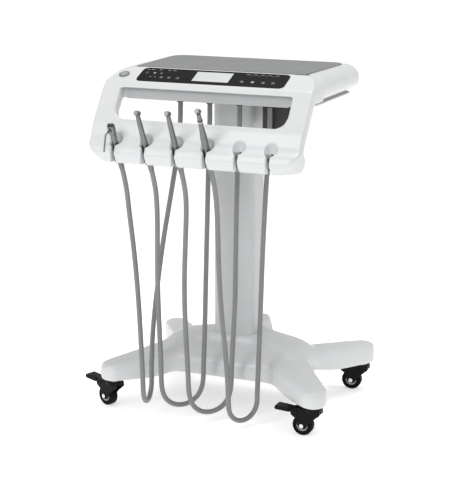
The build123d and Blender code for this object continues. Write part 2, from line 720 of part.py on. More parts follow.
def turned(x, *outline):
    """A solid turned about an instrument's axis from (radius, height) points."""
    plane = Plane(origin=(x, HOLDER_AT.Y, HOLDER_AT.Z), x_dir=(1, 0, 0), z_dir=SIDE)
    with BuildPart() as solid:
        with BuildSketch(plane):
            with BuildLine():
                Polyline((0, outline[0][1]), *outline, (0, outline[-1][1]), close=True)
            make_face()
        revolve(axis=Axis((x, HOLDER_AT.Y, HOLDER_AT.Z), HOLDER_AXIS))
    return solid.part


def rod(start, direction, length, radius):
    with BuildPart() as solid:
        with BuildSketch(Plane(origin=start, z_dir=direction)):
            Circle(radius)
        extrude(amount=length)
    return solid.part


SYRINGE_X, TURBINE_A_X, TURBINE_B_X, CONTRA_X = HOLDER_X[:4]
NECK_UP = -22.0
CONNECTOR = [(6.4, TAIL_UP), (7.4, -44), (8.0, -40), (8.0, -30), (7.2, -29), (7.2, NECK_UP)]
for name, x in zip(("syringe", "turbine_a", "turbine_b"), HOLDER_X):
    connector = turned(x, *CONNECTOR)
    finish(connector, name + "_connector")

# air and water syringe: a handle with a head, two buttons in its top and a bent nozzle in front
SYRINGE_TOP = 58.0
NOZZLE_UP = 46.0
NOZZLE_LEAN = 12.0
NOZZLE_R = 1.9
nozzle_out = Vector(0, -cos(radians(NOZZLE_LEAN)), -sin(radians(NOZZLE_LEAN)))
nozzle_down = Vector(0, -sin(radians(14)), -cos(radians(14)))
nozzle_root = on_axis(SYRINGE_X, NOZZLE_UP)
BUTTON_R = 3.2
BUTTON_SPREAD = 4.3
BUTTON_TRAVEL = 1.5
BUTTON_STAND = 3.0
with BuildPart() as syringe_body:
    add(turned(
        SYRINGE_X, (7.2, NECK_UP), (7.6, -16), (6.9, 10), (6.9, 30),
        (8.6, 38), (9.2, 44), (9.2, SYRINGE_TOP - 2),
        (8.2, SYRINGE_TOP),
    ))
    add(rod(nozzle_root, nozzle_out, 15, 4.6))
    add(rod(nozzle_root + nozzle_out * 5, nozzle_out, 40, NOZZLE_R + 0.05), mode=Mode.SUBTRACT)
    for side in (1, -1):
        add(rod(on_axis(SYRINGE_X + side * BUTTON_SPREAD, SYRINGE_TOP - 6), HOLDER_AXIS, 20, BUTTON_R + 0.08),
            mode=Mode.SUBTRACT)
finish(syringe_body.part, "syringe_body")

bend_at = nozzle_root + nozzle_out * 31
with BuildPart() as syringe_nozzle:
    with BuildLine():
        FilletPolyline(nozzle_root + nozzle_out * 5.5, bend_at, bend_at + nozzle_down * 40, radius=9)
    with BuildSketch(Plane(origin=nozzle_root + nozzle_out * 5.5, z_dir=nozzle_out)):
        Circle(NOZZLE_R)
    sweep()
finish(syringe_nozzle.part, "syringe_nozzle")

for label, side in (("syringe_air_button", 1), ("syringe_water_button", -1)):
    stand = SYRINGE_TOP - 6 + BUTTON_TRAVEL + 0.3
    button = rod(
        on_axis(SYRINGE_X + side * BUTTON_SPREAD, stand), HOLDER_AXIS,
        SYRINGE_TOP + BUTTON_STAND - stand, BUTTON_R
    )
    finish(button, label)

# two turbine handpieces and a contra-angle on its air motor, with a push cap in each head
HEAD_TILT = 14.0
head_out = Vector(0, -cos(radians(HEAD_TILT)), sin(radians(HEAD_TILT)))
CAP_TRAVEL = 1.0


def head_solids(x, up, radius, length):
    """A handpiece head across the axis, its push cap in front and its chuck behind."""
    middle = on_axis(x, up)
    with BuildPart() as head:
        add(rod(middle - head_out * length / 2, head_out, length, radius))
        fillet(head.edges().filter_by(GeomType.CIRCLE), radius=0.8)
        add(rod(middle - head_out * (length / 2 + 3), head_out, 4, radius * 0.5))
        add(rod(middle - head_out * (length / 2 + 4), head_out, 8, 0.9), mode=Mode.SUBTRACT)
        add(rod(middle + head_out * (length / 2 - 3), head_out, 8, radius * 0.72 + 0.08), mode=Mode.SUBTRACT)
    cap = rod(middle + head_out * (length / 2 - 3 + CAP_TRAVEL + 0.3), head_out, 3.4, radius * 0.72)
    return head.part, cap


for name, x, head_up in (("turbine_a", TURBINE_A_X, 96.0), ("turbine_b", TURBINE_B_X, 100.0)):
    head, cap = head_solids(x, head_up, 6.3, 13.0)
    with BuildPart() as handpiece:
        add(turned(
            x, (7.2, NECK_UP), (8.0, -16), (8.2, 0), (6.9, 26), (6.1, 48), (5.7, 72), (5.0, head_up - 8),
            (4.4, head_up - 3),
        ))
        add(head)
        add(rod(on_axis(x, head_up) + head_out * 3.5, head_out, 12, 6.3 * 0.72 + 0.08), mode=Mode.SUBTRACT)
    finish(handpiece.part, name + "_handpiece")
    finish(cap, name + "_cap")

MOTOR_TOP = 44.0
CONTRA_HEAD_UP = 112.0
finish(turned(CONTRA_X, *CONNECTOR, (8.4, -18), (8.4, 6), (8.0, 12), (8.0, MOTOR_TOP)), "contra_motor")
head, contra_cap = head_solids(CONTRA_X, CONTRA_HEAD_UP, 6.0, 13.0)
with BuildPart() as contra_angle:
    add(turned(
        CONTRA_X, (7.6, MOTOR_TOP), (7.0, 52), (5.6, 70), (5.2, 84),
        (6.2, 86), (6.2, 90), (5.2, 92), (4.8, 106),
    ))
    add(head)
    cap_hole = rod(on_axis(CONTRA_X, CONTRA_HEAD_UP) + head_out * 3.5, head_out, 12, 6 * 0.72 + 0.08)
    add(cap_hole, mode=Mode.SUBTRACT)
finish(contra_angle.part, "contra_angle")
finish(contra_cap, "contra_cap")

# ---- hoses: each hangs from its outlet, turns upward near the floor and meets its instrument ----
HOSE_ROUTES = {
    "hose_a": [
        (-114.9, -80, 760), (-114.9, -80, 715), (-117, -92, 645), (-129, -106, 545), (-147, -120, 420),
        (-157, -137, 300), (-160.5, -156, 200), (-159.5, -166, 118), (-158.5, -167, 70.8),
        (-153.4, -191.3, 46), (-146.1, -225.7, 46), (-141, -250, 70.8), (-142.5, -248.5, 120),
        (-151, -238, 200), (-163, -224, 305), (-176, -215, 410), (-188, -214, 505),
    ],
    "hose_b": [
        (-38.3, -80, 760), (-38.3, -80, 715), (-37, -91, 645), (-34, -104, 545), (-33, -115, 420),
        (-32, -125, 300), (-31, -133, 210), (-32, -138, 140), (-33, -140, 67.9), (-54.7, -163.4, 36),
        (-85.3, -196.6, 36), (-107, -220, 67.9), (-108, -218, 150), (-114, -214, 240), (-118, -212, 360),
        (-116.5, -211, 470), (-115.2, -214, 530),
    ],
    "hose_c": [
        (38.3, -80, 760), (38.3, -80, 715), (39, -91, 645), (41, -104, 545), (43, -115, 420),
        (46, -125, 300), (44, -133, 210), (42, -138, 140), (41, -140, 60.4), (19.3, -164, 28),
        (-11.3, -198, 28), (-33, -222, 60.4), (-37, -219, 140), (-44, -215, 230), (-48, -213, 340),
        (-44, -212, 450), (-39.5, -214, 530),
    ],
    "hose_d": [
        (114.9, -80, 760), (114.9, -80, 715), (115, -91, 645), (114, -104, 545), (112, -115, 420),
        (112, -125, 300), (114, -139, 200), (115.5, -150, 130), (115.5, -154, 90), (115, -155, 46),
        (102.1, -175.2, 22), (83.9, -203.8, 22), (71, -224, 46), (70, -224.5, 90), (66, -222, 150),
        (60, -220, 205), (49, -216, 290), (41, -213, 400), (39, -212, 500),
    ],
}
BEND_SHARE = 0.45
TAIL_RUN = 45.0


def bend_radii(points):
    """For each inner point, the arc that takes up a set share of its shorter run."""
    radii = []
    for before, here, after in zip(points, points[1:], points[2:]):
        turn = (here - before).get_angle(after - here)
        shorter = min((here - before).length, (after - here).length)
        radii.append(BEND_SHARE * shorter / tan(radians(turn / 2)))
    return radii


for (label, route), x in zip(HOSE_ROUTES.items(), HOLDER_X):
    points = [Vector(*point) for point in route] + [on_axis(x, TAIL_UP - TAIL_RUN), on_axis(x, TAIL_UP)]
    radii = bend_radii(points)
    with BuildPart() as hose:
        with BuildLine() as path:
            FilletPolyline(*points, radius=radii)
        with BuildSketch(Plane(origin=points[0], z_dir=points[1] - points[0])):
            Circle(HOSE_R)
        sweep()
    print(label, "length", round(path.wires()[0].length), "tightest", round(min(radii), 1),
          "volume share", round(hose.part.volume / (pi * HOSE_R**2 * path.wires()[0].length), 4))
    finish(hose.part, label)
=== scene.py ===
import json
import math

import bmesh
import bpy
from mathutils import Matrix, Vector


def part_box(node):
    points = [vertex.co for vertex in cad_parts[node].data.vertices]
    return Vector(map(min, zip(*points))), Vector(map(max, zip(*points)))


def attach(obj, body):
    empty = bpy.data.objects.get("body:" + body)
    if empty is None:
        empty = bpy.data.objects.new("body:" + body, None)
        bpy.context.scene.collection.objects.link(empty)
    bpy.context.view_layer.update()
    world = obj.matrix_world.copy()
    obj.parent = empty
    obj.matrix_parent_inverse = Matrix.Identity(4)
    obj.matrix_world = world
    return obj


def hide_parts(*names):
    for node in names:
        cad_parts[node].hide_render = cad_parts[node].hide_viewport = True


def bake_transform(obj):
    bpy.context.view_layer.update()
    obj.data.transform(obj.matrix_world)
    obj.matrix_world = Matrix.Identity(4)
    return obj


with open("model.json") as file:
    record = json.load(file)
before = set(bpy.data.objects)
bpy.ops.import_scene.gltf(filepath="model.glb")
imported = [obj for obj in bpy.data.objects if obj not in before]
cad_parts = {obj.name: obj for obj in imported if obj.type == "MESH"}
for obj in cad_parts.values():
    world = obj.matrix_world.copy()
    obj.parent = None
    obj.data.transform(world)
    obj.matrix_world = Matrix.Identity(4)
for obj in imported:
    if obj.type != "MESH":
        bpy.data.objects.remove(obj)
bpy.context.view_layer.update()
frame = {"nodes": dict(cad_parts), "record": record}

# ---- places: the cart is laid out in millimetres about its own symmetry plane, as in the CAD ----
column_low, column_high = (Vector(corner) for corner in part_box("column_cover"))
COLUMN_Y = 0.008
CART = Vector(((column_low.x + column_high.x) / 2, (column_low.y + column_high.y) / 2 - COLUMN_Y, 0))
HOLDER_PITCH = 76.6
HOLDER_X = [HOLDER_PITCH * (i - 2.5) for i in range(6)]
HOLDER_LEAN = math.radians(26)
HOLDER_AT = Vector((0, -269, 678))
UP_AXIS = Vector((0, -math.sin(HOLDER_LEAN), math.cos(HOLDER_LEAN)))
FACE_LEAN = math.radians(35.6)
FACE_AT = Vector((0, -285, 680))
FACE_UP = Vector((0, math.sin(FACE_LEAN), math.cos(FACE_LEAN)))
FACE_OUT = Vector((0, -math.cos(FACE_LEAN), math.sin(FACE_LEAN)))
PANEL_SLOPE = math.radians(23)
PANEL_UP = Vector((0, math.cos(PANEL_SLOPE), math.sin(PANEL_SLOPE)))
PANEL_OUT = Vector((0, -math.sin(PANEL_SLOPE), math.cos(PANEL_SLOPE)))
panel_low, panel_high = (Vector(corner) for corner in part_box("panel_film"))
FILM_HALF = 0.5
PANEL_AT = ((panel_low + panel_high) / 2 - CART) * 1000 + PANEL_OUT * FILM_HALF
ACROSS = Vector((1, 0, 0))
WELL_Y = 8
ARM_INNER = 214
ARM_OUTER = 260.5
DECK_TOP = 844
CORNER_STEPS = 8
HEAD_NODES = ("front_frame", "frame_back", "deck_shell")
# each caster's swivel axis (x, y) in millimetres and its heading in degrees
CASTERS = {
    "caster_front_right": (262, -166, 0),
    "caster_front_left": (-262, -166, -20),
    "caster_rear_right": (261, 197, 4),
    "caster_rear_left": (-261, 197, 171),
}


def place(x, y, z):
    """A point of the cart, given in millimetres, in the frame's metres."""
    return CART + Vector((x, y, z)) / 1000


def at(point):
    return place(*point)


def on_axis(x, up):
    """A point on the axis of the holder at x, so far up it."""
    return Vector((x, 0, 0)) + HOLDER_AT + UP_AXIS * up


def caster_point(name, along, side, up):
    """A point of a caster, measured from its swivel axis along its own heading."""
    x, y, heading = CASTERS[name]
    turn = math.radians(heading)
    return Vector((x + along * math.cos(turn) - side * math.sin(turn),
                   y + along * math.sin(turn) + side * math.cos(turn), up))


# ---- materials ----
def node_of(tree, kind, **inputs):
    node = tree.nodes.new(kind)
    for name, value in inputs.items():
        node.inputs[name.replace("_", " ")].default_value = value
    return node


def surface(name, color, roughness, metallic=0.0, mottle=0.04, mottle_scale=14.0, grain_scale=900.0,
            bump=0.05, stretch=(1, 1, 1), roughness_play=0.08, coat=0.0, dust=0.0, gloss=0.5):
    """A material with soft colour variation, a fine grain in its bump and roughness, and dust if asked."""
    mat = bpy.data.materials.new(name)
    mat.use_nodes = True
    tree = mat.node_tree
    link = tree.links.new
    shader = tree.nodes["Principled BSDF"]
    shader.inputs["Metallic"].default_value = metallic
    shader.inputs["Specular IOR Level"].default_value = gloss
    shader.inputs["Coat Weight"].default_value = coat
    shader.inputs["Coat Roughness"].default_value = 0.12
    where = tree.nodes.new("ShaderNodeTexCoord")
    mapping = node_of(tree, "ShaderNodeMapping", Scale=stretch)
    link(where.outputs["Object"], mapping.inputs["Vector"])
    broad = node_of(tree, "ShaderNodeTexNoise", Scale=mottle_scale, Detail=3.0)
    fine = node_of(tree, "ShaderNodeTexNoise", Scale=grain_scale, Detail=2.0)
    link(where.outputs["Object"], broad.inputs["Vector"])
    link(mapping.outputs["Vector"], fine.inputs["Vector"])
    ramp = tree.nodes.new("ShaderNodeValToRGB")
    ramp.color_ramp.elements[0].position = 0.3
    ramp.color_ramp.elements[1].position = 0.7
    ramp.color_ramp.elements[0].color = (*[c * (1 - mottle) for c in color], 1)
    ramp.color_ramp.elements[1].color = (*[min(1, c * (1 + mottle)) for c in color], 1)
    link(broad.outputs["Fac"], ramp.inputs["Fac"])
    tone = ramp.outputs["Color"]
    if dust:
        normal = tree.nodes.new("ShaderNodeNewGeometry")
        split = tree.nodes.new("ShaderNodeSeparateXYZ")
        link(normal.outputs["Normal"], split.inputs["Vector"])
        facing = node_of(tree, "ShaderNodeMapRange")
        facing.inputs["From Min"].default_value = 0.5
        facing.inputs["To Max"].default_value = dust
        link(split.outputs["Z"], facing.inputs["Value"])
        dusty = tree.nodes.new("ShaderNodeMix")
        dusty.data_type = "RGBA"
        dusty.inputs["B"].default_value = (0.42, 0.41, 0.40, 1)
        link(facing.outputs["Result"], dusty.inputs["Factor"])
        link(tone, dusty.inputs["A"])
        tone = dusty.outputs["Result"]
    link(tone, shader.inputs["Base Color"])
    rough = node_of(tree, "ShaderNodeMapRange")
    rough.inputs["To Min"].default_value = max(0.02, roughness - roughness_play)
    rough.inputs["To Max"].default_value = min(1.0, roughness + roughness_play)
    link(fine.outputs["Fac"], rough.inputs["Value"])
    link(rough.outputs["Result"], shader.inputs["Roughness"])
    lift = node_of(tree, "ShaderNodeBump", Strength=bump, Distance=0.0004)
    link(fine.outputs["Fac"], lift.inputs["Height"])
    link(lift.outputs["Normal"], shader.inputs["Normal"])
    return mat


def grey(level):
    """A near-neutral grey with a trace of cold in it."""
    return (level * 0.985, level, level * 1.01)


MATERIALS = {
    "white_shell": surface("white_shell", grey(0.66), 0.36, mottle=0.012, bump=0.03, coat=0.25),
    "column_paint": surface("column_paint", grey(0.56), 0.42, mottle=0.015, grain_scale=700, bump=0.08),
    "tray_grey": surface("tray_grey", grey(0.22), 0.6, mottle=0.04, grain_scale=1500, bump=0.22),
    "frame_grey": surface("frame_grey", grey(0.5), 0.45, mottle=0.02, bump=0.06),
    "box_dark": surface("box_dark", grey(0.035), 0.55, mottle=0.1, bump=0.15),
    "dark_steel": surface("dark_steel", grey(0.075), 0.5, metallic=0.2, mottle=0.1, bump=0.15),
    "column_metal": surface("column_metal", grey(0.55), 0.35, metallic=1.0, stretch=(60, 60, 1), bump=0.08),
    "zinc_steel": surface("zinc_steel", grey(0.52), 0.32, metallic=1.0, mottle=0.08, bump=0.05),
    "brass": surface("brass", (0.60, 0.44, 0.20), 0.28, metallic=1.0, mottle=0.08, bump=0.05),
    "black_plastic": surface("black_plastic", grey(0.018), 0.42, mottle=0.15, bump=0.2),
    "caster_black": surface("caster_black", grey(0.005), 0.38, mottle=0.2, bump=0.1, dust=0.004,
                            gloss=0.12),
    "tyre": surface("tyre", grey(0.006), 0.6, mottle=0.25, grain_scale=1300, bump=0.35, dust=0.006,
                    gloss=0.1),
    "chrome": surface("chrome", grey(0.72), 0.12, metallic=1.0, mottle=0.05, bump=0.02,
                      roughness_play=0.05),
    "sleeve_grey": surface("sleeve_grey", grey(0.30), 0.5, mottle=0.05, bump=0.1),
    "sensor_dark": surface("sensor_dark", grey(0.012), 0.15, mottle=0.1, bump=0.02, coat=0.6),
    "panel_black": surface("panel_black", grey(0.009), 0.5, mottle=0.06, grain_scale=2200, bump=0.1,
                           gloss=0.1),
    "display_pale": surface("display_pale", (0.60, 0.62, 0.615), 0.3, mottle=0.02, bump=0.01, coat=0.1),
    "board_green": surface("board_green", (0.02, 0.12, 0.05), 0.4, mottle=0.2, mottle_scale=120, bump=0.2),
    "ring_grey": surface("ring_grey", grey(0.34), 0.3, metallic=0.9, mottle=0.05, bump=0.04),
    "button_white": surface("button_white", grey(0.34), 0.35, mottle=0.03, bump=0.05),
    "hose_grey": surface("hose_grey", grey(0.20), 0.42, mottle=0.05, mottle_scale=30, grain_scale=1200,
                         bump=0.08, coat=0.15, roughness_play=0.06),
    "syringe_metal": surface("syringe_metal", grey(0.22), 0.3, metallic=1.0, mottle=0.06, bump=0.05),
    "button_dark": surface("button_dark", grey(0.05), 0.35, mottle=0.1, bump=0.05),
    "handpiece_metal": surface("handpiece_metal", grey(0.20), 0.3, metallic=1.0, mottle=0.08, grain_scale=500,
                               stretch=(1, 1, 30), bump=0.06),
    "cap_steel": surface("cap_steel", grey(0.16), 0.26, metallic=1.0, mottle=0.05, bump=0.03),
}
slots = {part["node"]: part["material_slot"] for part in frame["record"]["subparts"]}
for name, node in frame["nodes"].items():
    node.data.materials.clear()
    node.data.materials.append(MATERIALS[slots[name]])
sign_print = surface("icon_print", grey(0.42), 0.5, mottle=0.03, bump=0.02)
dark_band = surface("dark_band", grey(0.02), 0.3, mottle=0.1, bump=0.05)
pale_band = surface("pale_band", grey(0.62), 0.4, mottle=0.03, bump=0.05)
bearing_grey = surface("bearing_grey", grey(0.30), 0.4, metallic=0.6, mottle=0.08, bump=0.08)


# ---- mesh helpers ----
def shade(mesh, smooth=True):
    for face in mesh.polygons:
        face.use_smooth = smooth


def piece_of(name, mesh, mat, body=None, smooth=True):
    """A new object with one material; a piece that stands on its own also names its body."""
    obj = bpy.data.objects.new(name, mesh)
    bpy.context.collection.objects.link(obj)
    mesh.materials.clear()
    mesh.materials.append(mat)
    shade(mesh, smooth)
    if body:
        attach(obj, body)
    return obj


def mesh_from(name, build):
    """A mesh filled in by a function that is given an empty bmesh."""
    bm = bmesh.new()
    build(bm)
    bmesh.ops.recalc_face_normals(bm, faces=bm.faces)
    mesh = bpy.data.meshes.new(name)
    bm.to_mesh(mesh)
    bm.free()
    return mesh


def square_to(axis):
    """Two directions square to an axis and to each other."""
    axis = axis.normalized()
    first = axis.cross(ACROSS if abs(axis.x) < 0.9 else Vector((0, 1, 0))).normalized()
    return first, axis.cross(first)


def skin(bm, rings, closed=False):
    """Joins rings of vertices one to the next; the ends are capped, or joined too if it is closed."""
    pairs = list(zip(rings, rings[1:]))
    if closed:
        pairs.append((rings[-1], rings[0]))
    else:
        bm.faces.new(rings[0])
        bm.faces.new(rings[-1])
    for low, high in pairs:
        for i in range(len(low)):
            j = (i + 1) % len(low)
            bm.faces.new((low[i], low[j], high[j], high[i]))


def hull_of(bm, points):
    """The convex hull of points given in the cart's millimetres."""
    hull = bmesh.ops.convex_hull(bm, input=[bm.verts.new(at(point)) for point in points])
    spare = [v for v in hull["geom_interior"] if isinstance(v, bmesh.types.BMVert)]
    bmesh.ops.delete(bm, geom=spare, context="VERTS")


def rounded_outline(width, depth, radius):
    """The (x, y) points of a rectangle about the origin with rounded corners."""
    outline = []
    for corner in range(4):
        sign_x = 1 if corner in (0, 3) else -1
        sign_y = 1 if corner in (0, 1) else -1
        for i in range(CORNER_STEPS + 1):
            angle = math.radians(90 * corner + 90 * i / CORNER_STEPS)
            x = sign_x * (width / 2 - radius) + math.cos(angle) * radius
            y = sign_y * (depth / 2 - radius) + math.sin(angle) * radius
            outline.append((x, y))
    return outline


def lathe(bm, origin, axis, profile, steps=48, closed=False):
    """Turns (radius, height) points in millimetres about an axis; a closed profile makes a ring."""
    first, second = square_to(axis)
    rings = []
    for radius, height in profile:
        ring = []
        for i in range(steps):
            angle = 2 * math.pi * i / steps
            offset = first * math.cos(angle) + second * math.sin(angle)
            ring.append(bm.verts.new(at(origin + axis * height + offset * radius)))
        rings.append(ring)
    skin(bm, rings, closed)


def turned(name, origin, axis, profile, mat, body, closed=False):
    mesh = mesh_from(name, lambda bm: lathe(bm, origin, axis, profile, closed=closed))
    sharpen(piece_of(name, mesh, mat, body), 40)


def sharpen(obj, degrees):
    """Smooth shading that breaks at edges sharper than this."""
    obj.data.set_sharp_from_angle(angle=math.radians(degrees))


def settle(obj, *modifiers):
    """Applies modifiers, each given as (type, settings), and keeps the result as the object's own mesh."""
    for kind, settings in modifiers:
        modifier = obj.modifiers.new(kind.lower(), kind)
        for key, value in settings.items():
            setattr(modifier, key, value)
    graph = bpy.context.evaluated_depsgraph_get()
    mesh = bpy.data.meshes.new_from_object(obj.evaluated_get(graph), depsgraph=graph)
    obj.modifiers.clear()
    obj.data = mesh


# ---- base: five overlapping forms melted into one soft moulding, then opened from below ----
def base_hill(bm):
    # width, depth, corner radius, middle y and height of each level
    levels = [(392, 206, 56, 0, 86), (392, 208, 56, 0, 94), (392, 204, 60, 0, 128), (366, 158, 60, 4, 150),
              (330, 110, 50, 8, 164), (170, 106, 36, 8, 178), (124, 100, 26, 8, 184)]
    rings = []
    for width, depth, radius, middle_y, z in levels:
        outline = rounded_outline(width, depth, radius)
        rings.append([bm.verts.new(place(x, middle_y + y, z)) for x, y in outline])
    skin(bm, rings)


def base_leg(bm, root, tip, root_r, tip_r, root_top, tip_top):
    """The hull of two round ends whose top and underside slope from root to tip."""
    root_low, tip_low, tip_low_from = 92, 72, 0.55
    steps = 40
    root = Vector(root)
    along = Vector(tip) - root
    reach = along.length
    points = []
    for share, low in ((0, root_low), (tip_low_from, tip_low), (1, tip_low)):
        radius = root_r + (tip_r - root_r) * share
        for i in range(steps):
            angle = 2 * math.pi * i / steps
            spot = root + along * share + Vector((math.cos(angle), math.sin(angle))) * radius
            run = (spot - root).dot(along) / reach
            top = root_top + (tip_top - root_top) * (run + root_r) / (reach + root_r + tip_r)
            points.append(Vector((*spot, low)))
            points.append(Vector((*spot, top)))
    hull_of(bm, points)


def base_forms(bm):
    base_hill(bm)
    for side in (1, -1):
        base_leg(bm, (152 * side, -54), (262 * side, -168), 50, 34, 154, 114)
        base_leg(bm, (150 * side, 52), (262 * side, 199), 40, 32, 140, 124)


def open_base(bm):
    """Takes away the underside and the well the column stands in."""
    underside = 0.022
    well_x, well_y, well_floor = 0.047, 0.036, 0.165
    floor_z = min(v.co.z for v in bm.verts)
    bm.normal_update()
    under = []
    for face in bm.faces:
        if face.normal.z < -0.8 and face.calc_center_median().z < floor_z + underside:
            under.append(face)
    bmesh.ops.delete(bm, geom=under, context="FACES")
    middle = place(0, WELL_Y, 0)
    hole = []
    for face in bm.faces:
        off = face.calc_center_median() - middle
        if off.z > well_floor and abs(off.x) < well_x and abs(off.y) < well_y:
            hole.append(face)
    bmesh.ops.delete(bm, geom=hole, context="FACES")


def build_base():
    obj = piece_of("base_moulding", mesh_from("base_moulding", base_forms), MATERIALS["white_shell"])
    settle(obj, ("REMESH", {"mode": "VOXEL", "voxel_size": 0.004}),
           ("SMOOTH", {"factor": 0.6, "iterations": 50}))
    bm = bmesh.new()
    bm.from_mesh(obj.data)
    open_base(bm)
    bm.to_mesh(obj.data)
    bm.free()
    settle(obj, ("SOLIDIFY", {"thickness": 0.003, "offset": -1.0}))
    shade(obj.data)
    sharpen(obj, 50)
    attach(obj, "cart")
    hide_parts("base_cover")


# ---- head: the deck and the leaning frame flow into each other as one soft moulding ----
def plainness(spot):
    """How far a point, in the cart's millimetres, lies from the pockets, slots, panel and button: 0 to 1."""
    pocket_half, pocket_top, rail_back = 22, 722, -215
    panel_half_x, panel_half_up = 190, 35
    button_x, button_up, button_r = -224, -5, 17
    slope_depth, fade = -6, 10
    from_holder = min(abs(spot.x - x) for x in HOLDER_X) - pocket_half
    away = max(from_holder, spot.z - pocket_top, spot.y - rail_back)
    on_slope = (spot - PANEL_AT).dot(PANEL_OUT)
    if on_slope > slope_depth:
        up = (spot - PANEL_AT).dot(PANEL_UP)
        from_panel = max(abs(spot.x - PANEL_AT.x) - panel_half_x, abs(up) - panel_half_up)
        from_button = math.hypot(spot.x - button_x, up - button_up) - button_r
        away = min(away, from_panel, from_button)
    return min(1, max(0, away / fade))


def side_section(side, y, low, top, radius):
    """Half of the head's section across the cart, from its flat middle out to its rounded side."""
    low_edge = 20
    points = [(ARM_INNER, low), (ARM_OUTER - low_edge, low), (ARM_OUTER, low + low_edge)]
    for i in range(CORNER_STEPS + 1):
        angle = math.radians(90 * i / CORNER_STEPS)
        x = ARM_OUTER - radius + radius * math.cos(angle)
        z = min(top, DECK_TOP - radius + radius * math.sin(angle))
        points.append((x, z))
    points.append((ARM_INNER, top))
    return [Vector((side * x, y, z)) for x, z in points]


def corner_web(bm, side):
    """Rounds a lower corner of the frame's opening, right through the frame."""
    corner_x, corner_up, radius = 212, 77, 20
    front, back = 1, 26
    outline = [(side * corner_x, corner_up)]
    for i in range(CORNER_STEPS + 1):
        angle = math.radians(-90 + 90 * i / CORNER_STEPS)
        x = corner_x - radius + radius * math.cos(angle)
        outline.append((side * x, corner_up + radius + radius * math.sin(angle)))
    rings = []
    for depth in (front, back):
        spots = [FACE_AT + ACROSS * x + FACE_UP * up - FACE_OUT * depth for x, up in outline]
        rings.append([bm.verts.new(at(spot)) for spot in spots])
    skin(bm, rings)


def head_forms(bm):
    """The three hollow nodes, with the corners where they meet filled."""
    for node in HEAD_NODES:
        bm.from_mesh(frame["nodes"][node].data)
    for side in (1, -1):
        hull_of(bm, side_section(side, -184, 797, 814, 44) + side_section(side, -124, 789, 841, 44)
                + side_section(side, -92, 787.5, 841.5, 34))
        arm = [FACE_AT + FACE_UP * up - FACE_OUT * depth for up in (60, 148) for depth in (2, 25)]
        hull_of(bm, [point + ACROSS * side * x for point in arm for x in (ARM_INNER, ARM_OUTER)])
        corner_web(bm, side)


def build_head():
    obj = piece_of("head_moulding", mesh_from("head_moulding", head_forms), MATERIALS["white_shell"])
    settle(obj, ("REMESH", {"mode": "VOXEL", "voxel_size": 0.0018}),
           ("SMOOTH", {"factor": 0.6, "iterations": 8}))
    plain = obj.vertex_groups.new(name="plain")
    for vertex in obj.data.vertices:
        plain.add([vertex.index], plainness((vertex.co - CART) * 1000), "REPLACE")
    settle(obj, ("SMOOTH", {"factor": 0.6, "iterations": 24, "vertex_group": "plain"}))
    shade(obj.data)
    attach(obj, "cart")
    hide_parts("front_frame", "frame_back", "deck_shell")


def build_fascia_shade():
    """A grey sheet on the recess along the top of the frame's opening: painted shade under the top bar's lip,
    where the moulding is as white as the rest.
    """
    low, high, depth = 134.9, 166.5, 19.8
    width, height, radius, thick = 412, 31, 8, 0.6
    middle = FACE_AT + FACE_UP * (low + high) / 2 - FACE_OUT * depth

    def strip(bm):
        rings = []
        for out in (0, thick):
            rings.append([bm.verts.new(at(middle + ACROSS * x + FACE_UP * up + FACE_OUT * out))
                          for x, up in rounded_outline(width, height, radius)])
        skin(bm, rings)

    mesh = mesh_from("fascia_shade_sheet", strip)
    # grey over white moulding: painted shade in the recess under the lip
    piece_of("fascia_shade_sheet", mesh, MATERIALS["frame_grey"], "cart", smooth=False)


# ---- panel: plain generic signs printed on the film ----
BAR_WIDE = 0.9
TOP_ROW = 23
LOW_ROW = -10


def on_panel(x, up, out):
    return Vector((x, PANEL_AT.y, PANEL_AT.z)) + PANEL_UP * up + PANEL_OUT * out


def flat_shape(bm, corners):
    """A printed shape, a little above the film."""
    print_low, print_high = 0.02, 0.14
    rings = []
    for out in (print_low, print_high):
        rings.append([bm.verts.new(at(on_panel(x, up, out))) for x, up in corners])
    skin(bm, rings)


def disc_sign(bm, x, up, radius):
    angles = [math.radians(15 * i) for i in range(24)]
    flat_shape(bm, [(x + radius * math.cos(a), up + radius * math.sin(a)) for a in angles])


def ring_sign(bm, x, up, radius, line=0.6):
    for i in range(24):
        a = math.radians(15 * i)
        b = math.radians(15 * (i + 1))
        corners = ((radius, a), (radius, b), (radius - line, b), (radius - line, a))
        flat_shape(bm, [(x + r * math.cos(t), up + r * math.sin(t)) for r, t in corners])


def bar_sign(bm, x, up, width, height):
    flat_shape(bm, [(x - width / 2, up - height / 2), (x + width / 2, up - height / 2),
                    (x + width / 2, up + height / 2), (x - width / 2, up + height / 2)])


def arrow_sign(bm, x, up, size, way):
    """A triangle that points up the panel if way is 1 and down it if way is -1."""
    foot = up - way * size * 0.6
    flat_shape(bm, [(x - size, foot), (x + size, foot), (x, up + way * size)])


def plus_sign(bm, x, up, size):
    bar_sign(bm, x, up, size * 2, BAR_WIDE)
    bar_sign(bm, x, up, BAR_WIDE, size * 2)


def drop_sign(bm, x, up, size):
    angles = [math.radians(160 + 20 * i) for i in range(12)]
    bowl = [(x + size * math.cos(a), up + size * math.sin(a)) for a in angles]
    flat_shape(bm, [(x, up + size * 1.5)] + bowl)


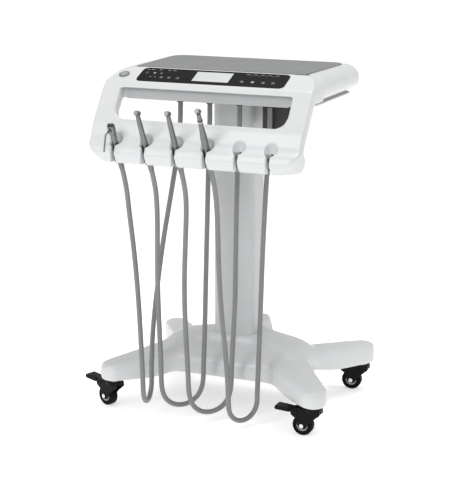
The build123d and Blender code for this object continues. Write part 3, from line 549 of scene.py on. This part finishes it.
def draw_signs(bm):
    for x in (-172, -160, -140, -118, -104):
        bar_sign(bm, x, TOP_ROW, 8, 1.2)
    for x, sign in ((-170, ring_sign), (-150, disc_sign), (-133, ring_sign)):
        sign(bm, x, 8, 3.0)
    bar_sign(bm, -133, 8, 3.2, BAR_WIDE)
    for x in (-154, -142):
        disc_sign(bm, x, LOW_ROW, 1.4)
    for x, way in ((-126, 1), (-106, -1)):
        ring_sign(bm, x, LOW_ROW, 4.0)
        arrow_sign(bm, x, LOW_ROW, 2.0, way)
    ring_sign(bm, -84, LOW_ROW, 4.0)
    plus_sign(bm, -84, LOW_ROW, 2.0)
    for x in (82, 100, 118, 136, 154):
        bar_sign(bm, x, TOP_ROW, 9, 1.2)
    for x in (92, 110, 128, 146):
        disc_sign(bm, x, 18, 1.0)
    for x in (78, 104, 130, 154):
        ring_sign(bm, x, LOW_ROW, 4.2)
    drop_sign(bm, 78, LOW_ROW - 0.5, 1.7)
    disc_sign(bm, 104, LOW_ROW, 3.2)
    plus_sign(bm, 130, LOW_ROW, 2.1)
    bar_sign(bm, 154, LOW_ROW, 4.0, BAR_WIDE)
    bar_sign(bm, 154, LOW_ROW + 1.8, 2.6, BAR_WIDE)


def build_panel():
    piece_of("panel_signs", mesh_from("panel_signs", draw_signs), sign_print, "cart", False)


# ---- hoses: the CAD's routes, each on one smooth line ----
HOSE_ROUTES = {
    "hose_a": [
        (-114.9, -80, 760), (-114.9, -80, 715), (-117, -92, 645), (-129, -106, 545), (-147, -120, 420),
        (-157, -137, 300), (-160.5, -156, 200), (-159.5, -166, 118), (-158.5, -167, 70.8),
        (-153.4, -191.3, 46), (-146.1, -225.7, 46), (-141, -250, 70.8), (-142.5, -248.5, 120),
        (-151, -238, 200), (-163, -224, 305), (-176, -215, 410), (-188, -214, 505),
    ],
    "hose_b": [
        (-38.3, -80, 760), (-38.3, -80, 715), (-37, -91, 645), (-34, -104, 545), (-33, -115, 420),
        (-32, -125, 300), (-31, -133, 210), (-32, -138, 140), (-33, -140, 67.9), (-54.7, -163.4, 36),
        (-85.3, -196.6, 36), (-107, -220, 67.9), (-108, -218, 150), (-114, -214, 240), (-118, -212, 360),
        (-116.5, -211, 470), (-115.2, -214, 530),
    ],
    "hose_c": [
        (38.3, -80, 760), (38.3, -80, 715), (39, -91, 645), (41, -104, 545), (43, -115, 420),
        (46, -125, 300), (44, -133, 210), (42, -138, 140), (41, -140, 60.4), (19.3, -164, 28),
        (-11.3, -198, 28), (-33, -222, 60.4), (-37, -219, 140), (-44, -215, 230), (-48, -213, 340),
        (-44, -212, 450), (-39.5, -214, 530),
    ],
    "hose_d": [
        (114.9, -80, 760), (114.9, -80, 715), (115, -91, 645), (114, -104, 545), (112, -115, 420),
        (112, -125, 300), (114, -139, 200), (115.5, -150, 130), (115.5, -154, 90), (115, -155, 46),
        (102.1, -175.2, 22), (83.9, -203.8, 22), (71, -224, 46), (70, -224.5, 90), (66, -222, 150),
        (60, -220, 205), (49, -216, 290), (41, -213, 400), (39, -212, 500),
    ],
}
HOSE_R = 6.0
TAIL_UP = -62.0
TAIL_RUN = 45.0


def smooth_path(points):
    """Points read from the NURBS line that has the route's points as its control points."""
    curve = bpy.data.curves.new("route", "CURVE")
    curve.dimensions = "3D"
    curve.resolution_u = 10
    spline = curve.splines.new("NURBS")
    spline.points.add(len(points) - 1)
    for point, spot in zip(spline.points, points):
        point.co = (*spot, 1)
    spline.order_u = 3
    spline.use_endpoint_u = True
    obj = bpy.data.objects.new("route", curve)
    bpy.context.collection.objects.link(obj)
    graph = bpy.context.evaluated_depsgraph_get()
    mesh = bpy.data.meshes.new_from_object(obj.evaluated_get(graph), depsgraph=graph)
    line = [v.co.copy() for v in mesh.vertices]
    bpy.data.objects.remove(obj)
    bpy.data.curves.remove(curve)
    bpy.data.meshes.remove(mesh)
    return line


def tube_mesh(name, line, radius, sides=24):
    """A round tube along a line of points, its rings carried along without twist."""
    def build(bm):
        tangent = (line[1] - line[0]).normalized()
        normal = square_to(tangent)[0]
        rings = []
        for i, spot in enumerate(line):
            ahead = (line[min(i + 1, len(line) - 1)] - line[max(i - 1, 0)]).normalized()
            normal = (normal - ahead * normal.dot(ahead)).normalized()
            side = ahead.cross(normal)
            ring = []
            for k in range(sides):
                angle = 2 * math.pi * k / sides
                offset = normal * math.cos(angle) + side * math.sin(angle)
                ring.append(bm.verts.new(spot + offset * radius))
            rings.append(ring)
        skin(bm, rings)

    return mesh_from(name, build)


def build_hoses():
    for (name, route), x in zip(HOSE_ROUTES.items(), HOLDER_X):
        tail = on_axis(x, TAIL_UP)
        points = [at(Vector(point)) for point in route] + [at(on_axis(x, TAIL_UP - TAIL_RUN)), at(tail)]
        line = smooth_path(points)
        hose = piece_of(name + "_tube", tube_mesh(name, line, HOSE_R / 1000), MATERIALS["hose_grey"])
        sharpen(hose, 50)
        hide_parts(name)
        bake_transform(hose)


# ---- small trim ----
WHEEL_R = 25.0
TRAIL = 24.0
WHEEL_HALF = 10.0


HUB_RING = [(9, 1.2), (9.5, 2.1), (13.2, 2.1), (14, 1.2)]
HUB_RING_IN = 1.4


def build_casters():
    for name in CASTERS:
        middle = caster_point(name, -TRAIL, 0, WHEEL_R)
        axle = caster_point(name, -TRAIL, 1, WHEEL_R) - middle
        for side, word in ((1, "inner"), (-1, "outer")):
            out = axle * side
            turned(name + "_hub_ring_" + word, middle + out * (WHEEL_HALF - HUB_RING_IN), out, HUB_RING,
                   bearing_grey, name + "_wheel", closed=True)


def build_bands():
    """The two bands round the neck of the contra-angle in the fourth holder."""
    base = on_axis(HOLDER_X[3], 0)
    for name, radius, low, high, mat in (("contra_dark_band", 6.3, 86.6, 89.4, dark_band),
                                         ("contra_pale_band", 6.0, 83.0, 85.2, pale_band)):
        turned(name, base, UP_AXIS, [(radius, low), (radius, high)], mat, "contra_angle")


build_base()
build_head()
build_fascia_shade()
build_panel()
build_hoses()
build_casters()
build_bands()


# ---- floor, light and camera ----
FLOOR_HALF = 40
FLOOR_GLOW = 0.5
SKY_STRENGTH = 0.6
CAMERA_AT = Vector((1393.1, -3310.7, 1277.9))
CAMERA_AZIMUTH = math.radians(22.815)
CAMERA_DOWN = math.radians(13.498)
CAMERA_LENS = 113.55


def build_stage():
    def sheet(bm):
        bmesh.ops.create_grid(bm, x_segments=1, y_segments=1, size=FLOOR_HALF)

    mesh = mesh_from("floor", sheet)
    floor = bpy.data.objects.new("floor", mesh)
    bpy.context.collection.objects.link(floor)
    mat = surface("floor_white", (0.9, 0.9, 0.9), 0.8, mottle=0.005, bump=0.01)
    shader = mat.node_tree.nodes["Principled BSDF"]
    shader.inputs["Emission Color"].default_value = (1, 1, 1, 1)
    shader.inputs["Emission Strength"].default_value = FLOOR_GLOW
    mesh.materials.append(mat)


def area_light(name, spot, target, size, power):
    data = bpy.data.lights.new(name, "AREA")
    data.shape = "DISK"
    data.size = size
    data.energy = power
    lamp = bpy.data.objects.new(name, data)
    bpy.context.collection.objects.link(lamp)
    lamp.location = spot
    lamp.rotation_euler = (Vector(target) - Vector(spot)).to_track_quat("-Z", "Y").to_euler()


def build_light():
    world = bpy.data.worlds.new("studio")
    world.use_nodes = True
    sky = world.node_tree.nodes["Background"]
    sky.inputs["Color"].default_value = (1, 1, 1, 1)
    sky.inputs["Strength"].default_value = SKY_STRENGTH
    bpy.context.scene.world = world
    middle = at(Vector((0, 0, 450)))
    area_light("key", middle + Vector((-0.9, -2.7, 1.6)), middle, 1.6, 27)
    area_light("top", middle + Vector((0.3, 0.2, 2.4)), middle, 1.8, 26)
    area_light("rim", middle + Vector((1.9, 1.2, 1.2)), middle, 1.2, 4)


def build_camera():
    data = bpy.data.cameras.new("camera")
    data.sensor_fit = "HORIZONTAL"
    data.sensor_width = 36.0
    data.lens = CAMERA_LENS
    camera = bpy.data.objects.new("camera", data)
    bpy.context.collection.objects.link(camera)
    camera.location = at(CAMERA_AT)
    level = Vector((-math.sin(CAMERA_AZIMUTH), math.cos(CAMERA_AZIMUTH), 0))
    ahead = level * math.cos(CAMERA_DOWN) - Vector((0, 0, math.sin(CAMERA_DOWN)))
    camera.rotation_euler = ahead.to_track_quat("-Z", "Y").to_euler()
    bpy.context.scene.camera = camera


build_stage()
build_light()
build_camera()
bpy.context.scene.view_settings.view_transform = "Standard"
